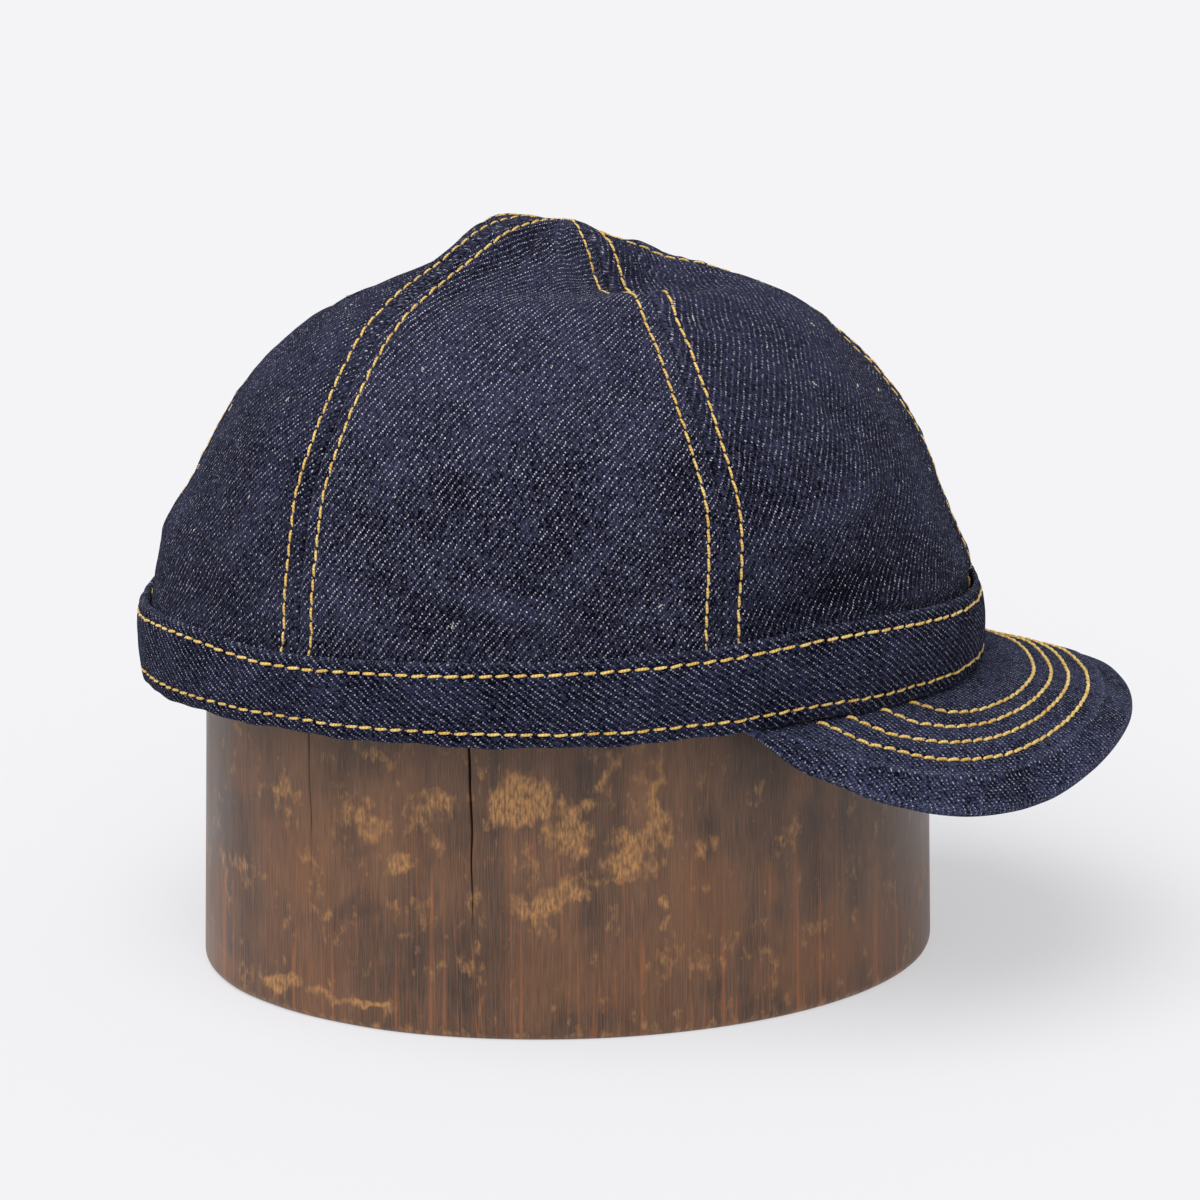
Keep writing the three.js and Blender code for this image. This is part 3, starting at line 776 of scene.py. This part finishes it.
def band_face(angle, height):
    """Outward offset of the band's face from its widest line, at a height in mm over its foot:
    a low swell, a groove at each row of stitches, and the puckers that the stitches draw."""
    tall = band_tall(angle)
    share = height / tall
    swell = -band_swell * np.abs(2 * share - 1) ** 2.2
    lean = ease((lean_end - np.abs(np.degrees(angle))) / lean_fade)
    swell = swell - ease(2 * share - 1) * lean
    arc = angle * band_radius
    grooves, puckers = 0, 0
    for row, pitch, phase in ((lower_row, lower_pitch, 0.0), (tall - upper_row, upper_pitch, 1.3)):
        grooves = grooves - 0.42 * bell(height - row, 0.55)
        ropes = np.sin(2 * np.pi * (arc / 7.9 + (height - row) / 9) + phase)
        ropes = ropes + 0.7 * np.sin(2 * np.pi * arc / 13.7 + 2 * phase)
        puckers = puckers + 0.14 * ropes * bell(height - row, 2.6)
        puckers = puckers + 0.05 * np.sin(2 * np.pi * arc / pitch) * bell(height - row, 1.2)
    place = np.stack([arc, height, np.zeros_like(arc)], -1)
    wave = 0.5 * ripple(place, 38, 21) + 0.22 * ripple(place, 13, 22)
    for at, slope, lift in band_creases:
        across = arc - np.radians(at) * band_radius - slope * (height - tall / 2)
        wave = wave + lift * bell(across, 2.6)
    return swell + grooves + puckers + wave * np.sin(np.pi * np.clip(share, 0, 1)) ** 0.5


def band_point(angle, height, depth):
    """Point of the band at a height over its foot and a depth behind its face."""
    flat = on_oval(band_length / 2, band_width / 2, angle, band_face(angle, height) - depth)
    arc = angle * band_radius
    sag = 0.25 * np.sin(2 * np.pi * arc / 31 + 1) + 0.15 * np.sin(2 * np.pi * arc / 12.3)
    sag = sag * ease(1 - height / 6)
    return np.concatenate([flat, (band_height_at(angle, 1) + height + sag)[..., None]], -1)


around = np.linspace(-np.pi, np.pi, 640, endpoint=False)
tall = band_tall(around)
fold = band_wall / 2
bend = np.linspace(0, np.pi / 2, 6)
turned = fold * (1 - np.cos(bend))      # heights of the folded edge's quarter round
# heights over the foot and depths under the rim where the face has a row of points
low_face = np.array([1.6, 2.2, 2.8, 3.2, 3.5, 3.7, 3.9, 4.2, 4.6, 5.2, 6.2])
high_face = np.array([5.4, 4.5, 3.9, 3.5, 3.2, 3.0, 2.8, 2.5, 2.1, 1.6])
low_rows, high_rows = np.append(turned, low_face), np.append(high_face, turned[::-1])
plain = np.linspace(0, 1, 9)[1:-1]
heights = np.concatenate([
    np.repeat(low_rows[None], len(around), 0),
    low_face[-1] + (tall[:, None] - high_face[0] - low_face[-1]) * plain,
    tall[:, None] - high_rows,
], 1)
curl = fold * (1 - np.sin(bend))
face_rows = heights.shape[1]
inner_rows = 14
inner_heights = fold + (tall[:, None] - 2 * fold) * np.linspace(1, 0, inner_rows)
section = np.concatenate([heights, inner_heights], 1)
depth = np.concatenate([
    curl, np.zeros(face_rows - 2 * len(curl)), curl[::-1], np.full(inner_rows, band_wall),
])
angle = np.repeat(around[:, None], section.shape[1], 1)
outer_height = np.clip(section, 0, tall[:, None])
points = band_point(angle, outer_height, depth)
inner_ring = np.arange(section.shape[1]) >= face_rows
flat = on_oval(band_length / 2, band_width / 2, angle, -band_swell - band_wall)
points[:, inner_ring, :2] = flat[:, inner_ring]
faces = grid_quads(len(around) + 1, section.shape[1], closed=True) % section.size
middle = points[:, 20]      # a ring halfway up the face, along which the weave is measured
steps = np.linalg.norm(np.diff(middle, axis=0, append=middle[:1]), axis=-1)
arc = np.cumsum(steps) - steps[0]
weave = np.stack([outer_height, np.repeat(-arc[:, None], section.shape[1], 1)], -1)
lip = np.minimum(section, tall[:, None] - section)
wear = 0.55 * bell(lip, 0.8) * ~inner_ring
# its mark makes the swells paler and the grooves darker: rubbed wear and painted shade
band = skin("denim_band", points.reshape(-1, 3), faces[:, ::-1], weave.reshape(-1, 2),
            {"wear": wear.ravel(), "raised": (band_face(angle, outer_height) + 0.5).ravel()})
# the same denim, darker and with duller dots, so the band reads as a strip apart from the crown
band.data.materials.append(raw_denim("raw_indigo_denim_band", "#090a16", "#2f3148", 0.03, 0.52))
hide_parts("band")
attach(band, "root")

rows = []
path_angle = np.linspace(-np.pi, np.pi, 2400)
tall = band_tall(path_angle)
for height, pitch, seed in (
    (np.full_like(tall, lower_row), lower_pitch, 81), (tall - upper_row, upper_pitch, 82),
):
    path = band_point(path_angle, height, 0)
    beside = band_point(path_angle + 0.001, height, 0) - path
    over = band_point(path_angle, height + 0.8, 0) - band_point(path_angle, height - 0.8, 0)
    normal = unit(np.cross(beside, over))
    rows.append(sewn_row(path, normal, pitch, width=0.74, gap=0.55, seed=seed))
sewn_piece("topstitch_band", rows, gold_thread)


# Peak: two layers of denim over a stiffener, seamed round the edge, turned out, and held by four
# rows of gold stitches. The turned seam allowance shows as a faint ridge inside the edge.
peak_length, peak_droop, peak_arch, peak_curl = 36.0, 20.6, 1.6, 1.25
peak_root, peak_end = 3.4, 64.0     # mm it reaches in behind the band, and degrees where it ends
seam_ridge = 6.8        # the turned allowance ends this far in from the edge
# degrees from the middle, reach as a share of peak_length, drop as a share of peak_droop
peak_edge = np.array([
    [0, 1, 0.5],
    [10, 0.985, 0.54],
    [20, 0.932, 0.73],
    [30, 0.846, 0.91],
    [40, 0.716, 0.89],
    [50, 0.524, 0.65],
    [58, 0.28, 0.31],
    [62, 0.11, 0.11],
    [64, 0.02, 0.03],
])
# each row of stitches: reach at the middle as a share of peak_length, and degrees where it ends
peak_rows = {
    "outer": (0.711, 53),
    "second": (0.572, 48),
    "third": (0.453, 41.5),
    "inner": (0.333, 35),
}


def peak_reach(degrees, column):
    """Reach or drop of the peak's edge, in mm, at degrees from its middle."""
    place = np.interp(np.abs(degrees), peak_edge[:, 0], np.arange(len(peak_edge)))
    size = (0, peak_length, peak_droop)[column]
    return size * through(peak_edge[:, column:column + 1], place)[..., 0]


def peak_tuck(side):
    """How far each end of the peak is drawn in behind the band, from 0 to 1."""
    return ease((np.abs(side) * peak_end - 60) / 4)


def peak_point(side, out):
    """Top face of the peak: side runs from -1 to 1 along it, out from 0 at the root to 1."""
    degrees = side * peak_end
    angle = np.radians(degrees)
    reach = peak_reach(degrees, 1)
    tuck = peak_tuck(side)
    flat = on_oval(band_length / 2, band_width / 2, angle,
                   -peak_root + (reach + peak_root) * out - 3.6 * tuck)
    drop = peak_reach(degrees, 2) * np.maximum(out, 0) ** peak_curl
    drop = drop - 2.6 * bell(degrees - 17, 11) * out ** 2      # the far half is bent up a little
    level = band_height_at(angle, 1) - 0.3 - drop + peak_arch * np.sin(np.pi * out) * out
    level = level + tuck
    return np.concatenate([flat, level[..., None]], -1)


def peak_normal(side, out):
    """Upward unit normal of the peak's top face."""
    step = 0.01
    right, left = np.minimum(side + step, 1), np.maximum(side - step, -1)
    along = peak_point(right, out) - peak_point(left, out)
    away = peak_point(side, np.minimum(out + step, 1)) - peak_point(side, np.maximum(out - step, 0))
    return unit(np.cross(away, along))


def row_out(degrees, reach, end):
    """The out coordinate of a row of stitches: it has the edge's own shape, drawn in."""
    shape = peak_reach(np.abs(degrees) * peak_end / end, 1) / peak_length
    here = peak_reach(degrees, 1)
    under = 2.6 * ease((np.abs(degrees) - end + 5) / 5)
    return (reach * peak_length * shape - under + peak_root) / (here + peak_root)


def peak_lift(side, out):
    """Low relief of the peak's top: a groove at each row, pillows between, and the seam's ridge."""
    degrees = side * peak_end
    span = peak_reach(degrees, 1) + peak_root
    height = np.zeros_like(out)
    for reach, end in peak_rows.values():
        gap = (out - row_out(np.clip(degrees, -end, end), reach, end)) * span
        inside = ease((end - np.abs(degrees)) / 3)
        height -= 0.34 * bell(gap, 0.8) * inside
    edge = (1 - out) * span
    height += 0.4 * bell(edge - seam_ridge, 0.8)
    height -= 0.3 * bell(edge - 5.0, 1.1)
    place = peak_point(side, out)
    height += 0.22 * ripple(place, 24, 31) + 0.12 * ripple(place, 9, 32)
    return height * ease(span / 8)


peak_thick, peak_thin = 3.4, 1.2
sides = np.sin(np.linspace(-np.pi / 2, np.pi / 2, 260)) * 0.5 + np.linspace(-0.5, 0.5, 260)
outs = np.concatenate([np.linspace(0, 0.9, 52)[:-1], np.linspace(0.9, 1, 10)])
side, out = np.meshgrid(sides, outs, indexing="ij")
thick = peak_thick + (peak_thin - peak_thick) * peak_tuck(sides)
normal = peak_normal(side, out)
drawn = peak_point(side, out)
top = drawn + normal * peak_lift(side, out)[..., None]
mid = drawn - normal * thick[:, None, None] / 2
under = drawn - normal * thick[:, None, None]
# the edge is a half round between the top face and the underside
edge_normal, outward = normal[:, -1], unit(drawn[:, -1] - drawn[:, -4])
half = thick[:, None] / 2
middle = drawn[:, -1] + edge_normal * (peak_lift(sides, np.ones(len(sides)))[:, None] - half)
# the same denim, a little bluer, with more sheen where it is stretched over the stiffener
denim_peak = raw_denim("raw_indigo_denim_peak", "#0c0d1b", "#3b3f5b", 0.06, 0.52)
edge_gap = (1 - out) * (peak_reach(side * peak_end, 1) + peak_root)
for name, start, node in (
    ("peak_top_cloth", 0, "peak_upper"), ("peak_under_cloth", 0.5, "peak_under"),
):
    turn = np.linspace(start, start + 0.5, 8)[1:] * np.pi
    round_edge = (
        middle[:, None]
        + (edge_normal * half)[:, None] * np.cos(turn)[:, None]
        + (outward * half)[:, None] * (0.8 * np.sin(turn))[:, None]
    )
    faces_of = (top, mid) if start == 0 else (mid, under)
    grid = np.concatenate([faces_of[0], round_edge, faces_of[1][:, ::-1]], 1)
    count = grid.shape[1]
    faces = grid_quads(len(sides), count, closed=True)
    ends = [np.arange(count)[::-1], np.arange(count) + (len(sides) - 1) * count]
    plan = grid[..., :2].copy()
    wrapped = drawn[:, -1:, :2] + outward[:, None, :2] * (half * turn)[..., None]
    plan[:, len(outs):len(outs) + len(turn)] = wrapped
    weave = np.stack([-plan[..., 1] * 1.1, plan[..., 0]], -1)
    wear = np.zeros(grid.shape[:2])
    wear[:, len(outs):len(outs) + len(turn)] = 0.7
    # on the top, the lift makes pillows paler and grooves darker: rubbed wear and painted shade
    raised = np.zeros(grid.shape[:2])
    if start == 0:
        raised[:, :len(outs)] = 2.5 * peak_lift(side, out)
        wear[:, :len(outs)] = np.maximum(
            wear[:, :len(outs)], 0.5 * bell(edge_gap - seam_ridge, 0.7))
    piece = skin(name, grid.reshape(-1, 3), [faces, np.array(ends)], weave.reshape(-1, 2),
                 {"wear": wear.ravel(), "raised": raised.ravel()})
    piece.data.materials.append(denim_peak)
    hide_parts(node)
    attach(piece, "root")

rows = []
for reach, end in peak_rows.values():
    degrees = np.linspace(-end, end, 900)
    side = degrees / peak_end
    out = row_out(degrees, reach, end)
    normal = peak_normal(side, out)
    path = peak_point(side, out) + normal * peak_lift(side, out)[..., None]
    rows.append(sewn_row(path, normal, pitch=3.4, width=0.92, gap=0.02, seed=90 + int(end)))
sewn_piece("topstitch_peak", rows, gold_thread)


# Block: one oval piece of old softwood, stained dark brown and handled for years. It has upright
# grain, two drying cracks from the top, stain rubbed off in patches, and a worn foot.
block_half_length = band_length / 2 - 13.5
block_half_width = band_width / 2 - 12.3
block_wall, block_taper, block_turn = 90.0, 2.0, math.radians(12.2)
block_rise = 79.4       # height of the hidden dome over the wall
foot_heights, foot_insets = [0, 0.25, 0.7, 1.4, 2.2], [1.5, 0.95, 0.45, 0.12, 0]    # worn foot edge
# drying cracks: place round the oval in mm, height where each ends, and half its width at the top
cracks = {"rear": (-80.5, 36.0, 0.2), "middle": (-38.0, 28.0, 0.25)}


def block_oval(turn, inset):
    """Point on the block's oval at a turn in radians, drawn in by an inset."""
    x = (block_half_length - inset) * np.cos(turn)
    y = (block_half_length - inset) * np.sin(turn) * block_half_width / block_half_length
    cos, sin = math.cos(block_turn), math.sin(block_turn)
    return np.stack([x * cos - y * sin, x * sin + y * cos], -1)


turn = np.linspace(0, 2 * np.pi, 3001)
arc = length_along(block_oval(turn, 0))
front = np.interp(1.5 * np.pi, turn, arc)   # the grain's zero lies at the middle of the near side
beside_crack = np.array([-1.2, -0.7, -0.4, -0.26, -0.14, 0, 0.14, 0.26, 0.4, 0.7, 1.2])
places = np.arange(0, arc[-1], 1.05) - front
for at, _, _ in cracks.values():
    places = places[np.abs(places - at) > 1.3]
    places = np.concatenate([places, at + beside_crack])
places = np.sort(places)
turns = np.interp(places + front, arc, turn)
levels = np.concatenate([foot_heights, np.arange(3.2, block_wall, 1.15), [block_wall]])
inset = np.interp(levels, [*foot_heights, block_wall], [*foot_insets, block_taper])
place_grid, level_grid = np.meshgrid(places, levels)
inset_grid = np.repeat(inset[:, None], len(places), 1)
crack_mark, sway = np.zeros_like(place_grid), np.zeros_like(place_grid)
for at, end, wide in cracks.values():
    wander = 0.14 * np.sin(level_grid / 7 + at) + 0.09 * np.sin(level_grid / 2.7 + 1)
    wander = wander + (block_wall - level_grid) * 0.025
    sway += wander * bell(place_grid - at, 7)
    open_share = ease((level_grid - end) / 35)
    dip = np.exp(-((place_grid - at) / (wide * (0.4 + 0.6 * open_share))) ** 4)
    dip = dip * ease((level_grid - end) / 4)
    inset_grid = inset_grid + 1.6 * dip
    crack_mark = np.maximum(crack_mark, dip)
turn_grid = np.interp(place_grid + sway + front, arc, turn)
flat = block_oval(turn_grid, inset_grid)
wall = np.concatenate([flat, level_grid[..., None]], -1)
wall += 0.12 * ripple(wall * np.array([1, 1, 0.3]), 30, 51)[..., None] * np.array([1, 1, 0])
dome_turn = np.linspace(0, np.pi / 2, 16)[1:-1]
dome_reach = block_half_length - (block_half_length - block_taper) * np.cos(dome_turn)
dome_flat = block_oval(*np.broadcast_arrays(turns[None], dome_reach[:, None]))
dome_level = block_wall + block_rise * np.sin(dome_turn)
dome = np.concatenate([
    dome_flat, np.broadcast_to(dome_level[:, None, None], (*dome_flat.shape[:2], 1)),
], -1)
grid = np.concatenate([wall, dome])
rows_count, columns_count = grid.shape[:2]
points = np.concatenate([grid.reshape(-1, 3), [[0, 0, 0], [0, 0, block_wall + block_rise]]])
quads = grid_quads(rows_count, columns_count, closed=True)
j = np.arange(columns_count)
foot_fan = np.stack([(j + 1) % columns_count, j, np.full_like(j, len(points) - 2)], -1)
top = (rows_count - 1) * columns_count
top_fan = np.stack([top + j, top + (j + 1) % columns_count, np.full_like(j, len(points) - 1)], -1)
level_all = np.concatenate([levels, dome_level])
grain = np.stack([
    np.repeat(places[None], rows_count, 0), np.repeat(level_all[:, None], columns_count, 1),
], -1).reshape(-1, 2)
grain = np.concatenate([grain, [[0, 0], [0, block_wall + block_rise]]])


def patches(spots):
    """How far soft ovals cover each point: place, level, half width, half height, strength."""
    flat = np.pad(grain, ((0, 0), (0, 1)))
    wobble = [3.2 * ripple(flat, 15, seed) + 1.6 * ripple(flat, 6, seed + 9) for seed in (61, 62)]
    share = np.zeros(len(grain))
    for at, level, wide, tall, strength in spots:
        across, up = grain[:, 0] + wobble[0] - at, grain[:, 1] + wobble[1] - level
        far = (across / wide) ** 2 + (up / tall) ** 2
        share = np.maximum(share, strength * np.exp(-(far ** 1.5)))
    return share


# stain rubbed off to the bare wood, darker patches, and warmer patches, as patches() takes them
scuffs = [
    (-61, 68, 8, 4, 0.75), (-85, 54, 2.5, 2, 0.95), (-64, 53, 9, 5, 0.75), (-47, 57, 7, 4.4, 0.75),
    (-39.5, 64, 1.5, 6, 0.5), (-54.5, 41, 5, 4, 0.85), (-75, 28.5, 4.5, 4, 0.6),
    (-79.5, 36, 1.2, 5, 0.6), (-24.5, 60, 7.5, 7, 1.1), (-30, 55, 5, 2.5, 0.7),
    (-19.5, 33.5, 7, 6, 0.85), (-14, 36, 5, 6, 0.75), (-4.5, 65.5, 2.5, 5, 0.7),
    (8.5, 57.5, 3.5, 7, 1.05), (1.5, 45, 6.5, 5, 1.1), (6, 49, 3, 4, 0.7), (-13, 52, 6, 7, 0.85),
    (-8.5, 54.5, 3.5, 4, 0.8), (8.5, 33.5, 2, 3.5, 0.95), (8, 26.5, 2, 1.6, 0.7),
    (-8, 40, 3, 3.5, 0.55), (-6, 20.5, 1.3, 1.2, 0.8), (12.5, 4.5, 1.3, 1.2, 0.8),
    (-92, 7.5, 8, 1.6, 1.3), (-76, 6.5, 6, 1.4, 1.0), (-64, 7, 8, 1.7, 1.25),
    (-50, 25.5, 1.5, 4, 0.5),
    (-110, 62, 4, 8, 0.5), (-118, 40, 4, 6, 0.45), (-40, 20, 5, 3, 0.4), (25, 20, 3, 3, 0.4),
]
darks = [
    (-65.5, 30.5, 8, 6, 0.8), (-67.5, 45, 6, 5, 0.7), (-52, 24, 16, 8, 0.6), (60, 44, 28, 16, 0.75),
    (95, 50, 14, 40, 0.5), (-95, 70, 14, 12, 0.5), (-20, 78, 40, 6, 0.5), (35, 66, 20, 12, 0.6),
    (-30, 22, 10, 14, 0.5), (-125, 30, 8, 30, 0.4), (-30, 1.5, 60, 4, 0.55), (-62, 13, 22, 6, 0.5),
]
warms = [
    (60, 14, 34, 12, 0.8), (20, 30, 12, 22, 0.6), (-118, 6, 14, 7, 0.8), (-86, 40, 14, 20, 0.5),
    (-8, 16, 34, 13, 0.6), (37, 34, 4, 9, 0.7), (20.5, 43.5, 2.5, 6, 0.9), (-45, 46, 14, 12, 0.35),
    (-85, 16, 22, 10, 0.4), (180, 20, 60, 20, 0.6), (-200, 20, 60, 20, 0.6),
]
crack_all = np.pad(crack_mark.ravel(), (0, len(grain) - crack_mark.size))
chips = 0.5 * bell(grain[:, 1] - 0.9, 1.3)
block = skin("wooden_hat_block", points, [quads, foot_fan, top_fan], grain, {
    "crack": crack_all, "scuff": np.maximum(patches(scuffs), chips),
    "dark": patches(darks), "warm": patches(warms), "low": ease((62 - grain[:, 1]) / 40),
})

# Brown stain over upright grain with thin orange rings, a satin gloss, and pale bare wood where it
# is rubbed. Each noise has a scale per mm across and along the grain, a detail and a shift.
noises = {
    "fine": (3.6, 0.13, 8.0, 0.0), "broad": (0.14, 0.014, 4.0, 7.0),
    "stain": (0.045, 0.035, 5.0, 3.0), "ragged": (0.5, 0.26, 8.0, 11.0),
    "rings": (0.36, 0.005, 1.0, 5.0), "handled": (0.12, 0.08, 5.0, 17.0),
    "speckle": (1.6, 0.5, 7.0, 23.0),
}
steps = [("uv", "UV")] + [(name, "MARK") for name in ("crack", "scuff", "dark", "warm", "low")]
for name, (across, along, detail, shift) in noises.items():
    steps += [
        (name, "VECTOR_MULTIPLY_ADD", "uv", (across, along, 0), (shift, shift, shift)),
        (name, "NOISE", name, 1.0, detail),
    ]
steps += [
    ("tone", "ADD", "fine", "broad"), ("tone", "ADD", "tone", "stain"),
    ("tone", "RANGE", "tone", 1.15, 1.9, 0, 1),
    ("wood", "MIX", "tone", linear("#37251a"), linear("#7b563b")),
    ("warmth", "MULTIPLY_ADD", "ragged", 0.6, "warm"),
    ("warmth", "RANGE", "warmth", 0.5, 1.15, 0, 1),
    ("red", "MIX", "fine", linear("#50321f"), linear("#895b36")),
    ("wood", "MIX", "warmth", "wood", "red"),
    ("line", "SUBTRACT", "rings", 0.5), ("line", "ABSOLUTE", "line"),
    ("line", "RANGE", "line", 0.013, 0.002, 0, 1),
    ("breaks", "MULTIPLY_ADD", "low", 0.3, "stain"),
    ("breaks", "RANGE", "breaks", 0.5, 0.75, 0.08, 0.6),
    ("line", "MULTIPLY", "line", "breaks"),
    ("wood", "MIX", "line", "wood", linear("#96582f")),
    ("gloom", "MULTIPLY_ADD", "ragged", 0.8, "dark"),
    ("gloom", "RANGE", "gloom", 0.72, 1.35, 0, 0.52),
    ("wood", "MIX", "gloom", "wood", linear("#221a18")),
    ("rubbed", "RANGE", "handled", 0.47, 0.72, 0, 0.66),
    ("rubbed", "MAXIMUM", "scuff", "rubbed"),
    ("rubbed", "MULTIPLY_ADD", "ragged", 2.0, "rubbed"),
    ("rubbed", "RANGE", "rubbed", 1.33, 1.95, 0, 1),
    ("speckle", "RANGE", "speckle", 0.34, 0.6, 0.12, 0.95),
    ("rubbed", "MULTIPLY", "rubbed", "speckle"),
    ("bare", "MIX", "fine", linear("#87582f"), linear("#cf9a5a")),
    ("wood", "MIX", "rubbed", "wood", "bare"),
    ("wood", "MIX", "crack", "wood", linear("#0d0907")),
    ("relief", "MULTIPLY_ADD", "rubbed", -0.5, "fine"),
    ("gloss", "RANGE", "stain", 0.3, 0.7, 0.34, 0.48),
    ("bump", "BUMP", "relief", 0.4, 0.0002),
]
block.data.materials.append(new_material("old_stained_softwood", {
    "Base Color": "wood",
    "Roughness": "gloss",
    "Specular IOR Level": 0.5,
    "Normal": "bump",
}, steps))
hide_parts("hat_block")
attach(block, "root")
